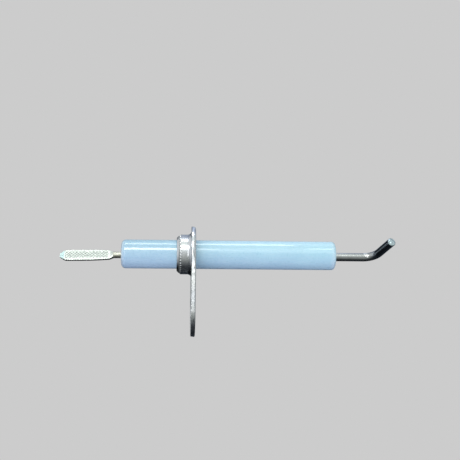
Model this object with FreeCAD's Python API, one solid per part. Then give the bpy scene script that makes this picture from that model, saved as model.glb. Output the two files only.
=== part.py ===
"""Flame sensor probe for a gas burner, modelled in millimetres.

A bent flame rod runs through a glazed ceramic tube.  Its cold end is brazed to a thinner lead wire, whose
outer end is pressed flat into a serrated blade for a push-on connector.  A sheet-metal bracket with a drawn
neck is crimped round the tube and holds the probe to the burner with one screw.

Row frame: the tube's axis is X.  The origin is where that axis meets the bracket's mounting face, +X points
along the probe towards the flame tip, and the bracket's tongue hangs down along -Z.
"""

import FreeCAD, Part
import math
import os

from FreeCAD import Vector

# Ceramic insulator
TUBE_R = 3.4
TUBE_REAR_X = -17.4
TUBE_FRONT_X = 33.22
TUBE_REAR_EDGE_R = 1.05
TUBE_FRONT_EDGE_R = 0.75
FRONT_BORE_R = 1.5
REAR_BORE_R = 1.1
BORE_STEP_X = -8.0
BORE_MOUTH_R = 0.25
GROOVE_R = 3.2
GROOVE_REAR_X = -4.35

# Flame rod, which lies a little below the tube's axis, as the lead wire does
ELECTRODE_DROP = 0.26
ROD_R = 1.0
ROD_REAR_X = -7.4
BEND_START_X = 40.2
BEND_R = 3.5
BEND_ANGLE = 74.0
TIP_LENGTH = 6.0
TIP_CHAMFER = 0.12
BEND_CLOCK = 62.0  # turn of the bend about X, from straight up towards -Y
SOCKET_R = 0.5
SOCKET_DEPTH = 4.0

# Lead wire and terminal blade
LEAD_R = 0.75
LEAD_BEND_X = -18.0
BLADE_DROOP = 1.2
BLADE_CLOCK = 59.0  # turn of the blade's face about X, from straight up towards -Y
NECK_END_X = -19.15
BLADE_START_X = -20.4
BLADE_END_X = -31.7
BLADE_HALF_WIDTH = 1.4
BLADE_HALF_THICKNESS = 0.33
BLADE_CROWN = 0.012
BLADE_SIDE_BULGE = 0.12
BLADE_TIP_TAPER = 2.4
BLADE_TIP_HALF_WIDTH = 0.36
BLADE_TIP_BEVEL = 1.2
BLADE_TIP_EDGE = 0.18
PANEL_DEPTH = 0.04
PANEL_MARGIN = 0.32
PANEL_CORNER_R = 0.3
KNURL_PITCH = 0.78
KNURL_DEPTH = 0.06
KNURL_HALF_WIDTH = 0.1
KNURL_ANGLE = 40.0

# Mounting bracket
PLATE_T = 1.0
PLATE_R = 6.65
SCREW_Z = -12.8
SCREW_HOLE_R = 2.25
SCREW_HOLE_BREAK = 0.08
DIE_ROLL_R = 0.2
BURR_EDGE_R = 0.08
NECK_OUTER_R = 4.7
NECK_INNER_R = 3.95
NECK_FOOT_R = 0.95
NECK_MOUTH_R = 1.0
SHOULDER_X = -3.62
SHOULDER_R = 0.7
LIP_NOSE_X = -4.46
LIP_NOSE_R = 0.4
LIP_FACE_R = 3.95
LIP_INNER_R = 3.43
LIP_LENGTH = 0.5
CRIMP_MARKS = 42
CRIMP_BALL_R = 0.3
CRIMP_DEPTH = 0.12
CRIMP_GROOVE_X = -3.86
CRIMP_GROOVE_WIRE_R = 0.18
CRIMP_GROOVE_DEPTH = 0.12

# Seals and cement
RING_WIRE_R = 0.28
RING_X = -3.43
PACKING_REAR_X = -3.1
PACKING_FRONT_X = -1.2
COLLAR_CEMENT_RECESS = 0.25
PLUG_LENGTH = 3.0
PLUG_RECESS = 0.3
BRAZE_R = 0.9
BRAZE_LENGTH = 0.5

AXIS = Vector(1, 0, 0)
ORIGIN = Vector(0, 0, 0)


def side(x, r):
    """A point of a turned section: x along the axis, r out from it."""
    return Vector(x, 0, r)


def corner_arc(before, corner, after, radius):
    """Start, middle and end of the round of that radius between the two lines that meet at the corner."""
    to_before = (before - corner).normalize()
    to_after = (after - corner).normalize()
    half = to_before.getAngle(to_after) / 2
    setback = radius / math.tan(half)
    bisector = (to_before + to_after).normalize()
    middle = corner + bisector * (radius / math.sin(half) - radius)
    return corner + to_before * setback, middle, corner + to_after * setback


def rounded_outline(corners):
    """A closed wire through (point, radius) corners, each rounded to its radius, or sharp where it is 0."""
    stretches = []
    for i, (point, radius) in enumerate(corners):
        before = corners[i - 1][0]
        after = corners[(i + 1) % len(corners)][0]
        if radius:
            stretches.append(corner_arc(before, point, after, radius))
        else:
            stretches.append((point,))
    edges = []
    for i, stretch in enumerate(stretches):
        if len(stretch) == 3:
            edges.append(Part.Arc(*stretch).toShape())
        following = stretches[(i + 1) % len(stretches)]
        if (following[0] - stretch[-1]).Length > 1e-6:
            edges.append(Part.LineSegment(stretch[-1], following[0]).toShape())
    return Part.Wire(edges)


def turned(corners):
    """A solid of revolution about X from (x, r, corner radius) corners."""
    section = rounded_outline([(side(x, r), radius) for x, r, radius in corners])
    return Part.Face(section).revolve(ORIGIN, AXIS, 360)


def ring(rear_x, front_x, inner_r, outer_r):
    """A plain ring about X."""
    outer = Part.makeCylinder(outer_r, front_x - rear_x, side(rear_x, 0), AXIS)
    inner = Part.makeCylinder(inner_r, front_x - rear_x, side(rear_x, 0), AXIS)
    return outer.cut(inner)


def lying_in_bore(shape, clock):
    """An electrode part turned about X to its clocking, then let down to where it lies in the bore."""
    placed = shape.copy()
    placed.rotate(ORIGIN, AXIS, clock)
    placed.translate(Vector(0, 0, -ELECTRODE_DROP))
    return placed


def off_centre_ring(rear_x, front_x, inner_r, outer_r):
    """A ring centred on the tube whose hole is round an electrode part that lies below the axis."""
    outer = Part.makeCylinder(outer_r, front_x - rear_x, side(rear_x, 0), AXIS)
    inner = Part.makeCylinder(inner_r, front_x - rear_x, side(rear_x, -ELECTRODE_DROP), AXIS)
    return outer.cut(inner)


def ceramic_insulator():
    """The glazed tube: rounded ends, a stepped bore and a shallow groove that the collar grips."""
    return turned([
        (TUBE_REAR_X, REAR_BORE_R, BORE_MOUTH_R),
        (TUBE_REAR_X, TUBE_R, TUBE_REAR_EDGE_R),
        (GROOVE_REAR_X, TUBE_R, 0),
        (GROOVE_REAR_X, GROOVE_R, 0),
        (0, GROOVE_R, 0),
        (0, TUBE_R, 0),
        (TUBE_FRONT_X, TUBE_R, TUBE_FRONT_EDGE_R),
        (TUBE_FRONT_X, FRONT_BORE_R, BORE_MOUTH_R),
        (BORE_STEP_X, FRONT_BORE_R, 0),
        (BORE_STEP_X, REAR_BORE_R, 0),
    ])


def sensing_rod():
    """The flame rod: straight through the tube, one round bend, then a straight tip with a broken edge."""
    angle = math.radians(BEND_ANGLE)
    bend_start = Vector(BEND_START_X, 0, 0)
    bend_middle = bend_start + Vector(math.sin(angle / 2), 0, 1 - math.cos(angle / 2)) * BEND_R
    bend_end = bend_start + Vector(math.sin(angle), 0, 1 - math.cos(angle)) * BEND_R
    tip_direction = Vector(math.cos(angle), 0, math.sin(angle))
    tip = bend_end + tip_direction * TIP_LENGTH
    path = Part.Wire([
        Part.LineSegment(Vector(ROD_REAR_X, 0, 0), bend_start).toShape(),
        Part.Arc(bend_start, bend_middle, bend_end).toShape(),
        Part.LineSegment(bend_end, tip).toShape(),
    ])
    section = Part.Wire(Part.makeCircle(ROD_R, Vector(ROD_REAR_X, 0, 0), AXIS))
    rod = path.makePipeShell([section], True, True)
    tip_edge = [e for e in rod.Edges if (e.CenterOfMass - tip).Length < 1e-3]
    rod = rod.makeChamfer(TIP_CHAMFER, tip_edge)
    socket = Part.makeCylinder(SOCKET_R, SOCKET_DEPTH, Vector(ROD_REAR_X, 0, 0), AXIS)
    return lying_in_bore(rod.cut(socket), BEND_CLOCK)


def pressed_section(x, half_width, half_thickness, corner_y, corner_z):
    """One section of the flattened wire: two crowned faces and two rounded sides, from four arcs."""
    right_top = Vector(x, corner_y, corner_z)
    right_low = Vector(x, corner_y, -corner_z)
    left_low = Vector(x, -corner_y, -corner_z)
    left_top = Vector(x, -corner_y, corner_z)
    return Part.Wire([
        Part.Arc(left_top, Vector(x, 0, half_thickness), right_top).toShape(),
        Part.Arc(right_top, Vector(x, half_width, 0), right_low).toShape(),
        Part.Arc(right_low, Vector(x, 0, -half_thickness), left_low).toShape(),
        Part.Arc(left_low, Vector(x, -half_width, 0), left_top).toShape(),
    ])


def blade_section(x, half_width, half_thickness):
    """A flat section of the blade."""
    return pressed_section(
        x, half_width, half_thickness, half_width - BLADE_SIDE_BULGE, half_thickness - BLADE_CROWN)


def round_section(x):
    """The section where the blade is still the round wire."""
    diagonal = LEAD_R * math.sqrt(0.5)
    return pressed_section(x, LEAD_R, LEAD_R, diagonal, diagonal)


def blade_body():
    """The flattened stretch: a short neck out of the round wire, then nearly parallel to the tip."""
    flare = (NECK_END_X - BLADE_START_X) / 3
    neck = Part.makeLoft([
        round_section(NECK_END_X),
        pressed_section(NECK_END_X - flare, 0.92, 0.56, 0.74, 0.45),
        pressed_section(NECK_END_X - 2 * flare, 1.12, 0.41, 0.98, 0.37),
        blade_section(BLADE_START_X, BLADE_HALF_WIDTH * 0.86, BLADE_HALF_THICKNESS),
    ], True, False)
    blade_length = BLADE_START_X - BLADE_END_X
    blade = Part.makeLoft([
        blade_section(BLADE_START_X, BLADE_HALF_WIDTH * 0.86, BLADE_HALF_THICKNESS),
        blade_section(BLADE_START_X - blade_length * 0.3, BLADE_HALF_WIDTH * 0.985, BLADE_HALF_THICKNESS),
        blade_section(BLADE_START_X - blade_length * 0.6, BLADE_HALF_WIDTH, BLADE_HALF_THICKNESS),
        blade_section(BLADE_END_X, BLADE_HALF_WIDTH * 0.98, BLADE_HALF_THICKNESS),
    ], True, False)
    return neck.fuse(blade)


def blade_tip_cutters():
    """What the press trims off the blade's end: both corners rounded in plan, and a bevel on each face."""
    cutters = []
    depth = 4 * BLADE_HALF_THICKNESS
    reach = 2 * BLADE_HALF_WIDTH
    for sign in (1, -1):
        end = Vector(BLADE_END_X, sign * BLADE_TIP_HALF_WIDTH, -depth / 2)
        middle = Vector(BLADE_END_X + BLADE_TIP_TAPER * 0.35, sign * BLADE_HALF_WIDTH * 0.71, -depth / 2)
        shoulder = Vector(BLADE_END_X + BLADE_TIP_TAPER, sign * (BLADE_HALF_WIDTH + 0.03), -depth / 2)
        corner = Part.Wire([
            Part.Arc(end, middle, shoulder).toShape(),
            Part.LineSegment(shoulder, Vector(shoulder.x, sign * reach, -depth / 2)).toShape(),
            Part.LineSegment(Vector(shoulder.x, sign * reach, -depth / 2),
                             Vector(BLADE_END_X - 1, sign * reach, -depth / 2)).toShape(),
            Part.LineSegment(Vector(BLADE_END_X - 1, sign * reach, -depth / 2),
                             Vector(BLADE_END_X - 1, end.y, -depth / 2)).toShape(),
            Part.LineSegment(Vector(BLADE_END_X - 1, end.y, -depth / 2), end).toShape(),
        ])
        cutters.append(Part.Face(corner).extrude(Vector(0, 0, depth)))
        bevel = Part.makePolygon([
            Vector(BLADE_END_X, -reach, sign * (BLADE_HALF_THICKNESS - BLADE_TIP_EDGE)),
            Vector(BLADE_END_X + BLADE_TIP_BEVEL, -reach, sign * (BLADE_HALF_THICKNESS + 0.01)),
            Vector(BLADE_END_X - 1, -reach, sign * 1.0),
            Vector(BLADE_END_X - 1, -reach, sign * (BLADE_HALF_THICKNESS - BLADE_TIP_EDGE)),
            Vector(BLADE_END_X, -reach, sign * (BLADE_HALF_THICKNESS - BLADE_TIP_EDGE)),
        ])
        cutters.append(Part.Face(bevel).extrude(Vector(0, 2 * reach, 0)))
    return cutters


def panel_outline(z, margin):
    """The outline of the blade's coined panel at height z, that margin inside the panel."""
    front = BLADE_START_X - margin
    rear = BLADE_END_X + BLADE_TIP_BEVEL + margin
    half_width = BLADE_HALF_WIDTH * 0.86 - PANEL_MARGIN - margin
    corner_r = PANEL_CORNER_R - margin
    return rounded_outline([
        (Vector(front, half_width, z), corner_r),
        (Vector(front, -half_width, z), corner_r),
        (Vector(rear, -half_width, z), corner_r),
        (Vector(rear, half_width, z), corner_r),
    ])


def knurl_grooves(top_z, facing):
    """Crossed V grooves that run right across the panel, cut down from top_z."""
    reach = 2 * BLADE_HALF_WIDTH
    angle = math.radians(KNURL_ANGLE)
    run = reach / math.tan(angle)
    count = int((BLADE_START_X - BLADE_END_X + run) / KNURL_PITCH)
    grooves = []
    for slant in (1, -1):
        along = Vector(math.cos(angle), slant * math.sin(angle), 0)
        across = Vector(-along.y, along.x, 0)
        for i in range(count):
            foot = Vector(BLADE_END_X - run / 2 + i * KNURL_PITCH, -slant * reach / 2, top_z)
            vee = Part.makePolygon([
                foot - across * KNURL_HALF_WIDTH,
                foot + across * KNURL_HALF_WIDTH,
                foot - Vector(0, 0, facing * KNURL_DEPTH),
                foot - across * KNURL_HALF_WIDTH,
            ])
            grooves.append(Part.Face(vee).extrude(along * (reach / math.sin(angle))))
    return grooves[0].multiFuse(grooves[1:])


def coined_panel(facing):
    """What the press coins out of one face of the blade: a shallow panel, and the knurl on its floor."""
    floor_z = BLADE_HALF_THICKNESS - PANEL_DEPTH
    above = Vector(0, 0, facing)
    recess = Part.Face(panel_outline(facing * floor_z, 0)).extrude(above)
    window = Part.Face(panel_outline(facing * (floor_z - 2 * KNURL_DEPTH), 0.06)).extrude(above)
    knurl = knurl_grooves(facing * (floor_z + 0.005), facing)
    return recess, knurl.common(window)


def terminal_blade():
    """The lead wire, from its spigot in the rod's socket out of the tube, its end pressed into the blade."""
    spigot = Part.makeCylinder(SOCKET_R, SOCKET_DEPTH, Vector(ROD_REAR_X, 0, 0), AXIS)
    wire = Part.makeCylinder(LEAD_R, ROD_REAR_X - LEAD_BEND_X, Vector(LEAD_BEND_X, 0, 0), AXIS).fuse(spigot)
    bend = Part.makeSphere(LEAD_R, Vector(LEAD_BEND_X, 0, 0))
    stem = Part.makeCylinder(LEAD_R, LEAD_BEND_X - NECK_END_X, Vector(NECK_END_X, 0, 0), AXIS)
    blade = stem.fuse(blade_body())
    for cutter in blade_tip_cutters():
        blade = blade.cut(cutter)
    for facing in (1, -1):
        for cutter in coined_panel(facing):
            blade = blade.cut(cutter)
    blade.rotate(ORIGIN, AXIS, BLADE_CLOCK)
    blade.rotate(Vector(LEAD_BEND_X, 0, 0), Vector(0, 1, 0), -BLADE_DROOP)
    return lying_in_bore(wire.fuse(bend).fuse(blade), 0)


def lead_braze():
    """The braze ring where the lead wire enters the rod's socket."""
    fillet = turned([
        (ROD_REAR_X - BRAZE_LENGTH, LEAD_R, 0),
        (ROD_REAR_X, LEAD_R, 0),
        (ROD_REAR_X, BRAZE_R, 0),
    ])
    return lying_in_bore(fillet, 0)


def front_bore_cement():
    """The cement plug round the rod at the flame end of the bore."""
    front_x = TUBE_FRONT_X - PLUG_RECESS
    return off_centre_ring(front_x - PLUG_LENGTH, front_x, ROD_R, FRONT_BORE_R)


def rear_bore_cement():
    """The cement plug round the lead wire at the terminal end of the bore."""
    rear_x = TUBE_REAR_X + PLUG_RECESS
    return off_centre_ring(rear_x, rear_x + PLUG_LENGTH, LEAD_R, REAR_BORE_R)


def bracket_plate():
    """The flat blank: two round ends and straight sides, rounded where the die went in."""
    outline = rounded_outline([
        (Vector(-PLATE_T, -PLATE_R, PLATE_R), PLATE_R * 0.9999),
        (Vector(-PLATE_T, PLATE_R, PLATE_R), PLATE_R * 0.9999),
        (Vector(-PLATE_T, PLATE_R, SCREW_Z - PLATE_R), PLATE_R * 0.9999),
        (Vector(-PLATE_T, -PLATE_R, SCREW_Z - PLATE_R), PLATE_R * 0.9999),
    ])
    plate = Part.Face(outline).extrude(Vector(PLATE_T, 0, 0))
    front_edges = [e for e in plate.Edges if abs(e.BoundBox.XMin) < 1e-6 and e.BoundBox.XLength < 1e-6]
    plate = plate.makeFillet(DIE_ROLL_R, front_edges)
    rear_edges = [
        e for e in plate.Edges if abs(e.BoundBox.XMin + PLATE_T) < 1e-6 and e.BoundBox.XLength < 1e-6
    ]
    return plate.makeFillet(BURR_EDGE_R, rear_edges)


def bracket_neck(join_r):
    """The neck drawn from the plate, with its end rolled in over the tube to make the crimped lip."""
    return turned([
        (0, NECK_INNER_R, NECK_MOUTH_R),
        (0, join_r, 0),
        (-PLATE_T, join_r, 0),
        (-PLATE_T, NECK_OUTER_R, NECK_FOOT_R),
        (SHOULDER_X, NECK_OUTER_R, SHOULDER_R),
        (LIP_NOSE_X, LIP_FACE_R, LIP_NOSE_R),
        (LIP_NOSE_X, LIP_INNER_R, 0.12),
        (LIP_NOSE_X + LIP_LENGTH, LIP_INNER_R, 0.08),
        (LIP_NOSE_X + 2 * LIP_LENGTH, NECK_INNER_R, 0.15),
    ])


def crimp_marks():
    """What the crimping tool leaves round the shoulder: a rolled groove and a row of small dents."""
    shoulder = side(SHOULDER_X, NECK_OUTER_R)
    nose = side(LIP_NOSE_X, LIP_FACE_R)
    middle = corner_arc(side(-PLATE_T, NECK_OUTER_R), shoulder, nose, SHOULDER_R)[1]
    outward = (shoulder - middle).normalize()
    centre = middle + outward * (CRIMP_BALL_R - CRIMP_DEPTH)
    marks = []
    for i in range(CRIMP_MARKS):
        ball = Part.makeSphere(CRIMP_BALL_R, centre)
        ball.rotate(ORIGIN, AXIS, i * 360.0 / CRIMP_MARKS)
        marks.append(ball)
    slope = (shoulder - nose).normalize()
    groove_at = nose + slope * ((CRIMP_GROOVE_X - LIP_NOSE_X) / slope.x)
    groove_at += Vector(-slope.z, 0, slope.x) * (CRIMP_GROOVE_WIRE_R - CRIMP_GROOVE_DEPTH)
    marks.append(Part.makeTorus(groove_at.z, CRIMP_GROOVE_WIRE_R, Vector(groove_at.x, 0, 0), AXIS))
    return marks


def mounting_bracket():
    """The plated steel bracket: plate, screw hole, drawn neck and crimped lip in one piece."""
    join_r = NECK_OUTER_R + NECK_FOOT_R + 0.15
    opening = Part.makeCylinder(join_r, 4 * PLATE_T, side(-2 * PLATE_T, 0), AXIS)
    screw_hole = Part.makeCylinder(SCREW_HOLE_R, 4 * PLATE_T, Vector(-2 * PLATE_T, 0, SCREW_Z), AXIS)
    plate = bracket_plate().cut(opening).cut(screw_hole)
    hole_edges = [
        e for e in plate.Edges
        if e.BoundBox.XLength < 1e-6 and abs(e.BoundBox.ZLength - 2 * SCREW_HOLE_R) < 1e-3
    ]
    plate = plate.makeChamfer(SCREW_HOLE_BREAK, hole_edges)
    bracket = plate.fuse(bracket_neck(join_r)).removeSplitter()
    return bracket.cut(crimp_marks())


def crimp_ring():
    """The soft wire ring that the lip presses on."""
    return Part.makeTorus(GROOVE_R + RING_WIRE_R + 0.02, RING_WIRE_R, Vector(RING_X, 0, 0), AXIS)


def collar_packing():
    """The packing between the neck and the groove of the tube."""
    return ring(PACKING_REAR_X, PACKING_FRONT_X, GROOVE_R, NECK_INNER_R)


def collar_cement():
    """The cement that closes the neck's mouth, just behind the mounting face."""
    edge_x = -COLLAR_CEMENT_RECESS
    edge_r = mouth_radius(edge_x)
    middle_x = (edge_x - NECK_MOUTH_R) / 2
    section = Part.Wire([
        Part.LineSegment(side(PACKING_FRONT_X, GROOVE_R), side(0, GROOVE_R)).toShape(),
        Part.LineSegment(side(0, GROOVE_R), side(0, TUBE_R)).toShape(),
        Part.LineSegment(side(0, TUBE_R), side(edge_x, edge_r)).toShape(),
        Part.Arc(
            side(edge_x, edge_r),
            side(middle_x, mouth_radius(middle_x)),
            side(-NECK_MOUTH_R, NECK_INNER_R),
        ).toShape(),
        Part.LineSegment(side(-NECK_MOUTH_R, NECK_INNER_R), side(PACKING_FRONT_X, NECK_INNER_R)).toShape(),
        Part.LineSegment(side(PACKING_FRONT_X, NECK_INNER_R), side(PACKING_FRONT_X, GROOVE_R)).toShape(),
    ])
    return Part.Face(section).revolve(ORIGIN, AXIS, 360)


def mouth_radius(x):
    """The radius of the neck's rounded mouth at x, from the mounting face back to the straight neck."""
    return NECK_INNER_R + NECK_MOUTH_R - math.sqrt(NECK_MOUTH_R ** 2 - (x + NECK_MOUTH_R) ** 2)


PIECES = (
    ceramic_insulator,
    sensing_rod,
    terminal_blade,
    lead_braze,
    front_bore_cement,
    rear_bore_cement,
    mounting_bracket,
    crimp_ring,
    collar_packing,
    collar_cement,
)


def main():
    os.makedirs("parts", exist_ok=True)
    for piece in PIECES:
        shape = piece()
        if not shape.isValid() or not shape.Solids:
            raise ValueError(piece.__name__ + " is not a valid solid")
        shape.exportStep(os.path.join("parts", piece.__name__ + ".step"))
        print(piece.__name__, "solids", len(shape.Solids), "faces", len(shape.Faces),
              "volume mm3", round(shape.Volume, 3))


main()
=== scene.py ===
import math

import bmesh
import bpy
from mathutils import Matrix, Vector, noise


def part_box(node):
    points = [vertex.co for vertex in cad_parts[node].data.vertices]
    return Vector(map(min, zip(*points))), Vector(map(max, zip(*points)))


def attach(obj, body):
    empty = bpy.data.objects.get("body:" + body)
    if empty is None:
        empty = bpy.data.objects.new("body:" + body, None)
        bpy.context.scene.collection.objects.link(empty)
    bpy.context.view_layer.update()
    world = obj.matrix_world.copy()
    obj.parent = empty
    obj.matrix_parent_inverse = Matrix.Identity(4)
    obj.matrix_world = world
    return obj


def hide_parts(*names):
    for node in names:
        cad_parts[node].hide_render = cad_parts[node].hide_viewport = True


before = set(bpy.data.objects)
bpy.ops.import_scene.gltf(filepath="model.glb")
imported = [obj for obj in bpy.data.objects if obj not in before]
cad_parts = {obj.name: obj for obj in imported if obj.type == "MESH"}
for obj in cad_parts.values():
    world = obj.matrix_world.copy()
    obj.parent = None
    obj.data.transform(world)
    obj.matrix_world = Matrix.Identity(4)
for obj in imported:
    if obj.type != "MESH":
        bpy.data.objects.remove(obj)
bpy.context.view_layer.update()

MM = 0.001

# sizes of the CAD parts that the materials and the detailed pieces follow
ROD_Z = -0.26 * MM
ROD_R = 1.0 * MM
LEAD_R = 0.75 * MM
BLADE_ROOT_X = -19.15 * MM
BLADE_DROOP = math.radians(1.2)
FRONT_BORE_R = 1.5 * MM
REAR_BORE_R = 1.1 * MM
FRONT_FACE_X = 33.14 * MM  # just inside the tube's two end faces
REAR_FACE_X = -17.32 * MM
SCREW_HOLE_R = 2.25 * MM
SHEET_T = 1.0 * MM


# ---------------------------------------------------------------- node helpers

class Nodes:
    """A node tree that ends in one shader, with short calls for the nodes used here."""

    def __init__(self, tree, output, shader):
        self.tree = tree
        tree.nodes.clear()
        self.shader = self.new(shader)
        tree.links.new(self.shader.outputs[0], self.new(output).inputs["Surface"])

    def new(self, kind):
        return self.tree.nodes.new(kind)

    def feed(self, socket, value):
        """Links a socket, or sets its value; a colour may have three or four numbers."""
        if isinstance(value, bpy.types.NodeSocket):
            self.tree.links.new(value, socket)
        elif socket.type == "RGBA":
            socket.default_value = (*value[:3], 1.0)
        else:
            socket.default_value = value

    def set(self, **values):
        """Inputs of the shader, by name, with _ for a space."""
        for key, value in values.items():
            self.feed(self.shader.inputs[key.replace("_", " ")], value)

    def coordinates(self, kind):
        return self.new("ShaderNodeTexCoord").outputs[kind]

    def math(self, op, a, b=None):
        n = self.new("ShaderNodeMath")
        n.operation = op
        self.feed(n.inputs[0], a)
        if b is not None:
            self.feed(n.inputs[1], b)
        return n.outputs[0]

    def vmath(self, op, a, b=None):
        n = self.new("ShaderNodeVectorMath")
        n.operation = op
        self.feed(n.inputs[0], a)
        if b is not None:
            self.feed(n.inputs[1], b)
        return n.outputs["Value"] if op == "LENGTH" else n.outputs[0]

    def product(self, *values):
        result = values[0]
        for value in values[1:]:
            result = self.math("MULTIPLY", result, value)
        return result

    def length(self, a, b):
        """The square root of a squared plus b squared."""
        return self.math("SQRT", self.math("ADD", self.product(a, a), self.product(b, b)))

    def split(self, vector):
        n = self.new("ShaderNodeSeparateXYZ")
        self.feed(n.inputs[0], vector)
        return n.outputs[0], n.outputs[1], n.outputs[2]

    def join(self, x, y, z):
        n = self.new("ShaderNodeCombineXYZ")
        for socket, value in zip(n.inputs, (x, y, z)):
            self.feed(socket, value)
        return n.outputs[0]

    def noise(self, vector, scale, detail, rough=0.55):
        n = self.new("ShaderNodeTexNoise")
        self.feed(n.inputs["Vector"], vector)
        n.inputs["Scale"].default_value = scale
        n.inputs["Detail"].default_value = detail
        n.inputs["Roughness"].default_value = rough
        return n.outputs["Fac"]

    def cells(self, vector, scale):
        """Distance to the nearest of a set of scattered points."""
        n = self.new("ShaderNodeTexVoronoi")
        self.feed(n.inputs["Vector"], vector)
        n.inputs["Scale"].default_value = scale
        return n.outputs["Distance"]

    def span(self, value, lo, hi, out_lo=0.0, out_hi=1.0, smooth=True):
        """out_lo where value is lo, out_hi where it is hi, and no further outside."""
        n = self.new("ShaderNodeMapRange")
        n.interpolation_type = "SMOOTHSTEP" if smooth else "LINEAR"
        self.feed(n.inputs["Value"], value)
        n.inputs["From Min"].default_value = lo
        n.inputs["From Max"].default_value = hi
        n.inputs["To Min"].default_value = out_lo
        n.inputs["To Max"].default_value = out_hi
        return n.outputs[0]

    def mix(self, factor, a, b):
        """Colour a where factor is 0, b where it is 1."""
        n = self.new("ShaderNodeMix")
        n.data_type = "RGBA"
        self.feed(n.inputs["Factor"], factor)
        self.feed(n.inputs[6], a)
        self.feed(n.inputs[7], b)
        return n.outputs[2]

    def bump(self, height, distance, strength, normal=None):
        n = self.new("ShaderNodeBump")
        n.inputs["Strength"].default_value = strength
        n.inputs["Distance"].default_value = distance
        self.feed(n.inputs["Height"], height)
        if normal is not None:
            self.feed(n.inputs["Normal"], normal)
        return n.outputs[0]


class Material(Nodes):
    """A principled material in the part's own coordinates, in metres."""

    def __init__(self, name):
        self.mat = bpy.data.materials.new(name)
        self.mat.use_nodes = True
        super().__init__(self.mat.node_tree, "ShaderNodeOutputMaterial", "ShaderNodeBsdfPrincipled")
        self.coord = self.coordinates("Object")

    def stretched(self, x, y, z):
        """Coordinates scaled along each axis, in units per metre."""
        return self.vmath("MULTIPLY", self.coord, (x, y, z))


# ---------------------------------------------------------------- materials

def glaze_material():
    """Pale blue glaze, mottled and faintly waved, over a white body."""
    s = Material("pale_blue_glaze")
    x = s.split(s.coord)[0]
    cloud = s.noise(s.stretched(160, 260, 260), 1.0, 3.0)
    mottle = s.noise(s.coord, 1900.0, 5.0, 0.65)
    base = s.mix(s.span(cloud, 0.35, 0.65), (0.362, 0.592, 0.722), (0.385, 0.625, 0.742))
    # painted shade and painted light along the tube: darker and a little more violet at the terminal end,
    # brighter and greener at the flame end
    painted_light_along_tube = s.mix(s.span(x, -0.018, 0.030, smooth=False), (0.95, 0.925, 0.955), (1.02, 1.08, 1.05))
    base = s.vmath("MULTIPLY", base, painted_light_along_tube)
    base = s.mix(s.span(mottle, 0.35, 0.75, 0.0, 0.18), base, (0.60, 0.79, 0.90))
    # the glaze thins towards both ends, and the end faces are bare
    end = s.math("MAXIMUM", s.span(x, 0.0314, 0.0331), s.span(x, -0.0166, -0.0173))
    base = s.mix(s.product(end, 0.35), base, (0.66, 0.78, 0.84))
    bare = s.math("MAXIMUM", s.math("GREATER_THAN", x, FRONT_FACE_X),
                  s.math("LESS_THAN", x, REAR_FACE_X))
    base = s.mix(bare, base, (0.72, 0.72, 0.68))
    # a few dark specks
    speck = s.span(s.cells(s.coord, 900.0), 0.09, 0.05)
    rare = s.span(s.noise(s.coord, 420.0, 1.0), 0.62, 0.70)
    base = s.mix(s.product(speck, rare, 0.25), base, (0.24, 0.30, 0.36))
    rough = s.math("ADD", s.span(mottle, 0.3, 0.7, 0.26, 0.36), s.product(end, 0.22))
    s.set(Base_Color=base, Roughness=rough)
    s.set(IOR=1.52, Coat_Weight=1.0, Coat_Roughness=0.05, Coat_IOR=1.65)
    s.set(Subsurface_Weight=0.12, Subsurface_Scale=0.0012, Subsurface_Radius=(0.7, 0.9, 1.0))
    wave = s.bump(s.noise(s.coord, 620.0, 2.0, 0.5), 0.00003, 0.004)
    grit = s.bump(s.noise(s.coord, 3800.0, 3.0, 0.6), 0.00002, 0.06, wave)
    s.set(Normal=grit, Coat_Normal=wave)
    return s.mat


def sheet_material():
    """Bright zinc on cold-rolled sheet: faint blue cast, draw lines on the neck, painted shade in the
    crimp groove.
    """
    s = Material("bright_zinc_sheet")
    x, y, z = s.split(s.coord)
    spangle = s.noise(s.coord, 900.0, 4.0, 0.6)
    cloud = s.noise(s.coord, 230.0, 3.0, 0.5)
    roll = s.noise(s.stretched(900, 9000, 500), 1.0, 3.0, 0.6)
    base = s.mix(s.span(cloud, 0.35, 0.65), (0.66, 0.69, 0.72), (0.76, 0.78, 0.77))
    base = s.mix(s.span(spangle, 0.45, 0.75, 0.0, 0.35), base, (0.62, 0.68, 0.66))
    rough = s.span(cloud, 0.3, 0.7, 0.21, 0.27)
    rough = s.math("ADD", rough, s.span(roll, 0.35, 0.75, 0.0, 0.06))
    # painted shade: the crimp groove darker, and its metal rougher
    shaded_crimp_groove = s.product(s.span(x, -0.00408, -0.00392), s.span(x, -0.00362, -0.00374))
    base = s.mix(s.product(shaded_crimp_groove, 0.60), base, (0.24, 0.26, 0.26))
    rough = s.math("ADD", rough, s.product(shaded_crimp_groove, 0.32))
    s.set(Base_Color=base, Metallic=1.0, Roughness=rough)
    radius = s.length(y, z)
    draw = s.noise(s.join(s.product(x, 5200.0), s.product(radius, 900.0), 0.0), 1.0, 2.0, 0.6)
    height = s.math("ADD", s.product(draw, 0.5), s.product(spangle, 0.5))
    s.set(Normal=s.bump(height, 0.00003, 0.15, s.bump(cloud, 0.00012, 0.15)))
    return s.mat


def burnished_edge_material():
    """The smooth land that the die leaves on the rim, scored across the sheet; painted shade makes it
    darker round the head.
    """
    s = Material("burnished_zinc_edge")
    score = s.noise(s.stretched(500, 7000, 7000), 1.0, 3.0, 0.6)
    cloud = s.noise(s.coord, 800.0, 3.0, 0.5)
    # painted shade: the rim darker round the head than down the tongue
    head = s.span(s.split(s.coord)[2], -0.0018, 0.0022)
    light = s.mix(head, (0.44, 0.47, 0.47), (0.21, 0.24, 0.25))
    dark = s.mix(head, (0.36, 0.39, 0.39), (0.16, 0.19, 0.20))
    base = s.mix(s.span(score, 0.35, 0.7), light, dark)
    s.set(Base_Color=base, Metallic=1.0, Roughness=s.span(cloud, 0.3, 0.7, 0.56, 0.66))
    s.set(Normal=s.bump(score, 0.00003, 0.2))
    return s.mat


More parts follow.
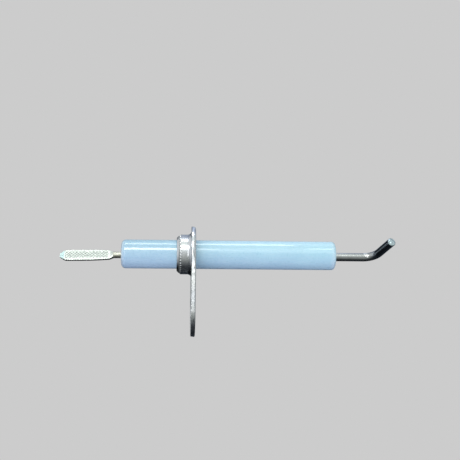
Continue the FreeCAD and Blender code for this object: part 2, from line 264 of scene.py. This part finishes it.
def torn_edge_material():
    """The torn part of the sheared rim: bright, frosty metal with grain along the tear."""
    s = Material("torn_zinc_edge")
    tear = s.noise(s.stretched(1500, 5200, 5200), 1.0, 4.0, 0.7)
    base = s.mix(s.span(tear, 0.3, 0.7), (0.92, 0.95, 0.93), (0.78, 0.84, 0.82))
    s.set(Base_Color=base, Metallic=1.0, Roughness=s.span(tear, 0.3, 0.7, 0.46, 0.56))
    s.set(Normal=s.bump(tear, 0.00005, 0.4))
    return s.mat


def rod_material():
    """Drawn heat-resisting wire: neutral grey, fine lines along it, a thin dark oxide in patches."""
    s = Material("drawn_rod_alloy")
    x = s.split(s.coord)[0]
    lines = s.noise(s.stretched(160, 9000, 9000), 1.0, 3.0, 0.6)
    patch = s.noise(s.coord, 700.0, 4.0, 0.6)
    base = s.mix(s.span(patch, 0.35, 0.7), (0.50, 0.52, 0.51), (0.42, 0.43, 0.42))
    base = s.mix(s.span(lines, 0.5, 0.8, 0.0, 0.25), base, (0.62, 0.63, 0.61))
    # painted shade: the bent end darker and bluer, for the dark surroundings it reflects
    base = s.mix(s.span(x, 0.0415, 0.0428), base, (0.27, 0.31, 0.36))
    s.set(Base_Color=base, Metallic=1.0, Roughness=s.span(patch, 0.3, 0.7, 0.16, 0.21))
    s.set(Normal=s.bump(lines, 0.00002, 0.03))
    return s.mat


def rod_face_material(centre):
    """The sawn end of the rod: saw lines, a dulled rim and a small pip where the cut broke through."""
    s = Material("sawn_rod_end")
    x, y, z = s.split(s.coord)
    across = s.join(s.product(s.math("ADD", y, z), 9000.0), s.product(x, 500.0), 0.0)
    saw = s.noise(across, 1.0, 2.0, 0.6)
    cloud = s.noise(s.coord, 1500.0, 4.0, 0.6)
    base = s.mix(s.span(cloud, 0.3, 0.7), (0.66, 0.82, 0.85), (0.82, 0.94, 0.95))
    s.set(Base_Color=base, Metallic=1.0, Roughness=s.span(saw, 0.3, 0.7, 0.28, 0.42))
    away = s.vmath("LENGTH", s.vmath("SUBTRACT", s.coord, tuple(centre)))
    rim, pip = s.span(away, 0.00100, 0.00072), s.span(away, 0.00042, 0.00018, 0.0, 0.35)
    shape = s.bump(s.math("ADD", rim, pip), 0.00022, 1.0)
    s.set(Normal=s.bump(saw, 0.00002, 0.4, shape))
    return s.mat


def blade_material():
    """Bright plated wire, coined on the blade: silvery, faintly green, warmer on the round stem."""
    s = Material("plated_blade")
    x, y, z = s.split(s.coord)
    grain = s.noise(s.coord, 2600.0, 4.0, 0.6)
    press = s.noise(s.stretched(900, 2600, 2600), 1.0, 3.0, 0.55)
    base = s.mix(s.span(press, 0.35, 0.65), (0.60, 0.65, 0.61), (0.66, 0.71, 0.66))
    base = s.mix(s.span(grain, 0.5, 0.8, 0.0, 0.4), base, (0.52, 0.57, 0.52))
    # the knurled middle of the flat is duller than its border
    sag = s.product(s.math("SUBTRACT", x, BLADE_ROOT_X), math.tan(BLADE_DROOP))
    away = s.length(y, s.math("SUBTRACT", z, s.math("ADD", sag, ROD_Z)))
    along = s.product(s.span(x, -0.0304, -0.0298), s.span(x, -0.0202, -0.0208))
    middle = s.product(s.span(away, 0.00095, 0.00045), along)
    base = s.mix(s.product(middle, 0.12), base, (0.46, 0.50, 0.47))
    # a cooler nose and a warmer stem
    base = s.mix(s.span(x, -0.0303, -0.0309), base, (0.46, 0.62, 0.61))
    stem = s.span(x, -0.0196, -0.0192)
    base = s.mix(stem, base, (0.58, 0.59, 0.50))
    rough = s.math("ADD", s.span(grain, 0.3, 0.7, 0.32, 0.42), s.product(stem, 0.08))
    rough = s.math("ADD", rough, s.product(middle, 0.16))
    s.set(Base_Color=base, Metallic=1.0, Roughness=rough)
    s.set(Normal=s.bump(press, 0.00004, 0.08, s.bump(grain, 0.00002, 0.06)))
    return s.mat


def cement_material(name, tone, dark):
    """Grainy mineral filler with fine dark pores."""
    s = Material(name)
    grain = s.noise(s.coord, 4200.0, 5.0, 0.7)
    clump = s.noise(s.coord, 1300.0, 3.0, 0.6)
    base = s.mix(s.span(clump, 0.3, 0.7), tone, dark)
    pore = s.span(s.cells(s.coord, 3200.0), 0.22, 0.10)
    base = s.mix(s.product(pore, 0.6), base, tuple(0.35 * c for c in dark))
    s.set(Base_Color=base, Roughness=s.span(grain, 0.3, 0.7, 0.80, 0.95))
    height = s.math("SUBTRACT", grain, s.product(pore, 0.8))
    s.set(Normal=s.bump(height, 0.00006, 0.7))
    return s.mat


def plain_metal(name, light, dark, rough):
    """Lightly grained metal for the pieces inside the collar and the bore."""
    s = Material(name)
    grain = s.noise(s.coord, 2400.0, 4.0, 0.6)
    base = s.mix(s.span(grain, 0.3, 0.7), light, dark)
    s.set(Base_Color=base, Metallic=1.0, Roughness=s.span(grain, 0.3, 0.7, rough, rough + 0.12))
    s.set(Normal=s.bump(grain, 0.00003, 0.4))
    return s.mat


def dress(node, *materials, pick=None):
    """Gives a CAD node its materials; pick chooses the material number for each face."""
    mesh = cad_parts[node].data
    mesh.materials.clear()
    for m in materials:
        mesh.materials.append(m)
    for face in mesh.polygons:
        face.material_index = pick(face) if pick else 0


def sawn_end(face):
    """1 on the rod's end face, else 0."""
    return int(face.center.x > 0.043 and face.normal.y < -0.8)


dress("ceramic_insulator", glaze_material())
ends = [f.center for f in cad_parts["sensing_rod"].data.polygons if sawn_end(f)]
dress("sensing_rod", rod_material(), rod_face_material(sum(ends, Vector()) / len(ends)), pick=sawn_end)
dress("terminal_blade", blade_material())
cement = cement_material("bore_cement", (0.74, 0.72, 0.66), (0.60, 0.58, 0.52))
dress("collar_cement", cement)
dress("collar_packing", cement_material("collar_packing", (0.62, 0.60, 0.55), (0.48, 0.46, 0.42)))
dress("crimp_ring", plain_metal("soft_aluminium", (0.80, 0.80, 0.79), (0.68, 0.68, 0.67), 0.35))
dress("lead_braze", plain_metal("silver_braze", (0.78, 0.70, 0.48), (0.66, 0.58, 0.38), 0.30))


# ---------------------------------------------------------------- detailed pieces

def new_piece(name, mesh, node, slot, *materials):
    """A finished piece that stands for one CAD node."""
    obj = bpy.data.objects.new(name, mesh)
    bpy.context.scene.collection.objects.link(obj)
    mesh.materials.clear()
    for m in materials:
        mesh.materials.append(m)
    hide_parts(node)
    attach(obj, "root")
    return obj


def smoothstep(a, b, t):
    t = min(1.0, max(0.0, (t - a) / (b - a)))
    return t * t * (3 - 2 * t)


def sheared_bracket():
    """The bracket with its blanked rim as the press leaves it.

    From the mounting face back: the rolled edge, a smooth land, then a torn zone that leans in
    towards a small burr. The land is wide round the head and narrow down the tongue, where the
    tool was set closer.
    """
    low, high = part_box("mounting_bracket")
    half_width = high.y
    tail_z = low.z + half_width
    roll_x, burr_x, rear_x = -0.20 * MM, -0.92 * MM, -SHEET_T
    rim_reach = 0.45 * MM  # how far in from the outline a vertex still belongs to the rim
    head_land, land_loss = 0.82, 0.58  # mm: the land round the head, and how much less on the tongue
    land_ring, tear_ring = -0.55 * MM, -0.75 * MM
    dome_slices = (-0.48 * MM, -0.4 * MM, -0.3 * MM)
    dome_x, dome_drop = 0.5 * MM, 0.16 * MM
    slice_step = 0.3 * MM
    lean = math.tan(math.radians(9.0))

    def from_rim(co):
        """Distance outside the plate's middle line, and the direction from it in Y and Z."""
        spine = min(0.0, max(tail_z, co.z))
        offset = Vector((0, co.y, co.z - spine))
        return offset.length, offset.normalized() if offset.length > 1e-9 else offset

    def on_rim(co):
        return from_rim(co)[0] > half_width - rim_reach and co.x > rear_x - 0.01 * MM

    def head_share(co):
        """0 on the tongue, 1 round the head."""
        return smoothstep(-1.8 * MM, 2.2 * MM, co.z)

    def land_x(co):
        """Where the smooth land gives way to the tear."""
        wander = noise.noise(Vector((0, co.y, co.z)) / (0.55 * MM)) * 0.04 * MM
        return -(head_land - land_loss * (1 - head_share(co))) * MM + min(0.0, wander)

    bm = bmesh.new()
    bm.from_mesh(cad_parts["mounting_bracket"].data)

    def slice_rim(point, normal):
        faces = [f for f in bm.faces if all(on_rim(v.co) for v in f.verts)]
        edges = {e for f in faces for e in f.edges}
        verts = {v for f in faces for v in f.verts}
        bmesh.ops.bisect_plane(bm, geom=faces + list(edges) + list(verts), dist=1e-8,
                               plane_co=point, plane_no=normal)

    z = -0.5 * slice_step
    while z > tail_z:
        slice_rim(Vector((0, 0, z)), Vector((0, 0, 1)))
        z -= slice_step
    for x in (land_ring, tear_ring, *dome_slices):
        slice_rim(Vector((x, 0, 0)), Vector((1, 0, 0)))

    for v in bm.verts:
        if not on_rim(v.co):
            continue
        distance, outward = from_rim(v.co)
        edge_x = land_x(v.co)
        if abs(v.co.x - land_ring) < 1e-7:
            v.co.x = edge_x
        elif abs(v.co.x - tear_ring) < 1e-7:
            v.co.x = (edge_x + burr_x) / 2
        depth = max(0.0, edge_x - v.co.x)
        ragged = noise.noise(v.co / (0.25 * MM)) * 0.012 * MM * min(1.0, depth / (0.1 * MM))
        if v.co.x < burr_x - 0.001 * MM and distance > half_width - 0.1 * MM:
            v.co += outward * (half_width - distance) * 0.8
        # the head's rim is drawn down further at the mounting face than the tongue's
        t = min(1.0, max(0.0, (v.co.x + dome_x) / dome_x))
        dome = dome_drop * head_share(v.co) * (1 - math.sqrt(1 - t * t))
        rounding = max(0.0, min(v.co.x, roll_x) - edge_x)
        v.co -= outward * (depth * lean + rounding * lean + dome - min(0.0, ragged))
        # the burr stands up a little, unevenly
        if v.co.x < burr_x - 0.005 * MM and distance > half_width - 0.2 * MM:
            v.co.x -= (0.012 + 0.02 * abs(noise.noise(v.co / (0.4 * MM)))) * MM

    sheet, land, torn = 0, 1, 2
    for f in bm.faces:
        c = f.calc_center_median()
        rim = all(on_rim(v.co) for v in f.verts) and abs(f.normal.x) < 0.93
        in_hole = (c - Vector((c.x, 0, tail_z))).length < SCREW_HOLE_R + 0.02 * MM
        if rim and c.x < land_x(c):
            f.material_index = torn
        else:
            f.material_index = land if rim or in_hole else sheet
        f.smooth = True
    mesh = bpy.data.meshes.new("sheared_bracket")
    bm.to_mesh(mesh)
    bm.free()
    if "custom_normal" in mesh.attributes:
        mesh.attributes.remove(mesh.attributes["custom_normal"])
    mesh.set_sharp_from_angle(angle=math.radians(28))
    obj = new_piece("sheared_bracket", mesh, "mounting_bracket", "plated_sheet",
                    sheet_material(), burnished_edge_material(), torn_edge_material())
    even = obj.modifiers.new("even_shading", "WEIGHTED_NORMAL")
    even.keep_sharp = True
    even.weight = 80


def cement_ring(name, node, face_x, back_x, core_r, bore_r, creep_height, seed):
    """A cement plug between the electrode and the bore, with an uneven, trowelled outer face.

    face_x is the outer face, where the cement creeps up both walls, and back_x the hidden end.
    """
    around, across = 96, 10
    facing = 1 if face_x > back_x else -1
    grid = []
    for j in range(across + 1):
        t = j / across
        middle_z = ROD_Z * (1 - t)
        r = core_r * (1 - t) + bore_r * t
        row = []
        for i in range(around):
            a = 2 * math.pi * i / around
            p = Vector((0, r * math.sin(a), middle_z + r * math.cos(a)))
            at_core = 0.7 + 0.5 * noise.noise(p / (0.6 * MM) + Vector((seed, 0, 0)))
            at_bore = 0.7 + 0.5 * noise.noise(p / (0.7 * MM) + Vector((0, seed, 0)))
            creep = creep_height * (math.exp(-t * 9) * at_core + math.exp((t - 1) * 9) * at_bore)
            grain = noise.fractal(p / (0.35 * MM) + Vector((seed, seed, 0)), 0.8, 2.1, 4)
            p.x = face_x + facing * (creep + 0.035 * MM * grain)
            row.append(p)
        grid.append(row)
    inner_back = [Vector((back_x, p.y, p.z)) for p in grid[0]]
    outer_back = [Vector((back_x, p.y, p.z)) for p in grid[-1]]
    rings = [inner_back, *grid, outer_back]
    faces = []
    for j in range(len(rings)):
        k = (j + 1) % len(rings)
        for i in range(around):
            n = (i + 1) % around
            quad = (j * around + i, j * around + n, k * around + n, k * around + i)
            faces.append(quad if facing > 0 else quad[::-1])
    mesh = bpy.data.meshes.new(name)
    mesh.from_pydata([p for ring in rings for p in ring], [], faces)
    for polygon in mesh.polygons:
        polygon.use_smooth = True
    mesh.set_sharp_from_angle(angle=math.radians(60))
    new_piece(name, mesh, node, "cement", cement)


sheared_bracket()
cement_ring("front_cement_face", "front_bore_cement", 32.92 * MM, 29.92 * MM,
            ROD_R, FRONT_BORE_R, 0.10 * MM, 3.1)
cement_ring("rear_cement_face", "rear_bore_cement", -17.1 * MM, -14.1 * MM,
            LEAD_R, REAR_BORE_R, 0.08 * MM, 7.7)


# ---------------------------------------------------------------- studio

# brightness round the X axis, in degrees up from straight at the camera's side
ROOM_TONES = (
    (-180, (0.56, 0.59, 0.60)),
    (-168, (0.42, 0.45, 0.47)),
    (-156, (0.020, 0.026, 0.036)),
    (-110, (0.026, 0.030, 0.036)),
    (-75, (0.034, 0.037, 0.042)),
    (-58, (0.08, 0.085, 0.09)),
    (-38, (0.21, 0.225, 0.23)),
    (-20, (0.37, 0.39, 0.39)),
    (10, (0.50, 0.52, 0.52)),
    (27, (0.66, 0.70, 0.70)),
    (46, (0.64, 0.68, 0.67)),
    (62, (0.46, 0.50, 0.49)),
    (80, (0.52, 0.56, 0.57)),
    (105, (0.58, 0.62, 0.68)),
    (125, (0.30, 0.34, 0.44)),
    (165, (0.28, 0.32, 0.38)),
    (180, (0.56, 0.59, 0.60)),
)

# lights: name, place, size, radiance, point aimed at, colour, rays that don't see it
HIGHLIGHT_ONLY, FILL_ONLY = "visible_diffuse", "visible_glossy"
WHITE = (1.0, 1.0, 1.0)
LIGHTS = (
    ("front_top_softbox", (-0.165, -0.352, 0.355), (0.35, 0.14), 6.5, (-0.165, 0, 0), WHITE, None),
    ("front_top_edge", (0.024, -0.352, 0.355), (0.018, 0.10), 2.5, (0.024, 0, 0), WHITE, HIGHLIGHT_ONLY),
    ("overhead_strip", (-0.025, 0.03, 0.50), (0.25, 0.11), 3.2, (-0.025, 0, 0), WHITE, HIGHLIGHT_ONLY),
    ("right_strip", (0.133, -0.265, 0.424), (0.045, 0.075), 3.4, (0.133, 0, 0), WHITE, HIGHLIGHT_ONLY),
    ("left_window", (-0.155, -0.472, 0.075), (0.10, 0.25), 2.4, (0, 0, 0), WHITE, None),
    ("low_front_fill", (0.05, -0.30, -0.42), (0.8, 0.3), 2.5, (0, 0, 0), (1.0, 0.88, 1.08), FILL_ONLY),
    ("low_left_fill", (-0.35, -0.20, -0.30), (0.3, 0.3), 1.4, (0, 0, 0), (1.0, 0.70, 0.95), FILL_ONLY),
    ("high_right_fill", (0.35, -0.10, 0.40), (0.3, 0.3), 2.0, (0, 0, 0), WHITE, FILL_ONLY),
    ("rear_fill", (0.05, 0.45, 0.25), (0.8, 0.3), 1.4, (0, 0, 0), WHITE, FILL_ONLY),
)


def cyclorama():
    """The plain pale floor and the walls it curves up into, one even tone that only the camera sees."""
    profile = ((0.0, -0.30), (1.0, -0.30), (1.35, -0.27), (1.6, -0.15), (1.7, 0.1), (1.7, 1.5), (0.0, 2.2))
    steps = 48
    verts = []
    for r, z in profile:
        for i in range(steps):
            a = 2 * math.pi * i / steps
            verts.append((r * math.cos(a), r * math.sin(a), z))
    faces = []
    for ring in range(len(profile) - 1):
        for i in range(steps):
            here, j = ring * steps, (i + 1) % steps
            above = here + steps
            faces.append((here + i, here + j, above + j, above + i))
    mesh = bpy.data.meshes.new("studio_cyclorama")
    mesh.from_pydata(verts, [], faces)
    mat = bpy.data.materials.new("studio_grey")
    mat.use_nodes = True
    Nodes(mat.node_tree, "ShaderNodeOutputMaterial", "ShaderNodeEmission").set(
        Color=(1, 1, 1), Strength=0.604)
    mesh.materials.append(mat)
    obj = bpy.data.objects.new("studio_cyclorama", mesh)
    bpy.context.scene.collection.objects.link(obj)
    for ray in ("diffuse", "glossy", "transmission", "volume_scatter", "shadow"):
        setattr(obj, "visible_" + ray, False)


def surroundings():
    """What the metal reflects beyond the softboxes: dark below, grey in front, paler above and behind."""
    world = bpy.data.worlds.new("studio_surroundings")
    bpy.context.scene.world = world
    world.use_nodes = True
    w = Nodes(world.node_tree, "ShaderNodeOutputWorld", "ShaderNodeBackground")
    x, y, z = w.split(w.coordinates("Generated"))
    ramp = w.new("ShaderNodeValToRGB")
    turn = w.math("ARCTAN2", z, w.product(y, -1.0))
    w.feed(ramp.inputs[0], w.span(turn, -math.pi, math.pi, smooth=False))
    elements = ramp.color_ramp.elements
    while len(elements) < len(ROOM_TONES):
        elements.new(0.5)
    for element, (degrees, colour) in zip(elements, ROOM_TONES):
        element.position = (degrees + 180) / 360
        element.color = (*colour, 1)
    # past the left end of the backdrop the room is dark
    past_left = w.span(w.math("ADD", x, w.product(y, 0.25)), 0.12, -0.12)
    dark = w.product(past_left, w.span(y, 0.15, 0.45), w.span(z, 0.6, 0.3))
    level = w.math("SUBTRACT", 1.0, w.product(dark, 0.94))
    # a pale ceiling to the right
    ceiling = w.product(w.span(x, 0.0, 0.10), w.span(x, 0.24, 0.19), w.span(z, 0.25, 0.55))
    level = w.math("ADD", level, w.product(ceiling, 1.5))
    # a pale wall at the far left, with its upper part reaching round behind
    high = w.product(w.span(x, -0.3, -0.6), w.span(z, 0.2, 0.45))
    wall = w.math("MAXIMUM", high, w.span(x, -0.78, -0.93))
    paint = w.mix(w.span(z, -0.35, 0.05), (0.36, 0.37, 0.39), (0.84, 0.85, 0.87))
    w.set(Strength=w.math("MAXIMUM", level, wall), Color=w.mix(wall, ramp.outputs[0], paint))


def softbox(name, place, size, radiance, target, colour, hidden_from):
    """A rectangular light; hidden_from is the setting to turn off, if any."""
    light = bpy.data.lights.new(name, "AREA")
    light.shape = "RECTANGLE"
    light.size, light.size_y = size
    light.energy = radiance * math.pi * size[0] * size[1]
    light.color = colour
    obj = bpy.data.objects.new(name, light)
    obj.location = place
    obj.rotation_euler = (Vector(target) - Vector(place)).to_track_quat("-Z", "Y").to_euler()
    obj.visible_camera = False
    if hidden_from:
        setattr(obj, hidden_from, False)
    bpy.context.scene.collection.objects.link(obj)


def camera():
    """Looks along +Y, turned 4 degrees towards the flame end and rolled 0.7 degrees."""
    image_width, focal_pixels, sensor_width = 460, 780, 36.0
    turn, roll = math.radians(4.0), math.radians(0.7)
    distance, right_by, up_by = 184.8 * MM, 8.175 * MM, 5.83 * MM
    forward = Vector((math.sin(turn), math.cos(turn), 0))
    level = Vector((math.cos(turn), -math.sin(turn), 0))
    up = Vector((0, 0, 1))
    right = level * math.cos(roll) + up * math.sin(roll)
    top = up * math.cos(roll) - level * math.sin(roll)
    data = bpy.data.cameras.new("camera")
    data.sensor_width = sensor_width
    data.lens = focal_pixels * sensor_width / image_width
    data.clip_start, data.clip_end = 0.01, 10.0
    obj = bpy.data.objects.new("camera", data)
    axes = Matrix((right, top, -forward)).transposed().to_4x4()
    place = right * right_by + top * up_by - forward * distance
    obj.matrix_world = Matrix.Translation(place) @ axes
    bpy.context.scene.collection.objects.link(obj)
    bpy.context.scene.camera = obj


cyclorama()
surroundings()
for row in LIGHTS:
    softbox(*row)
camera()
bpy.context.scene.view_settings.view_transform = "Standard"
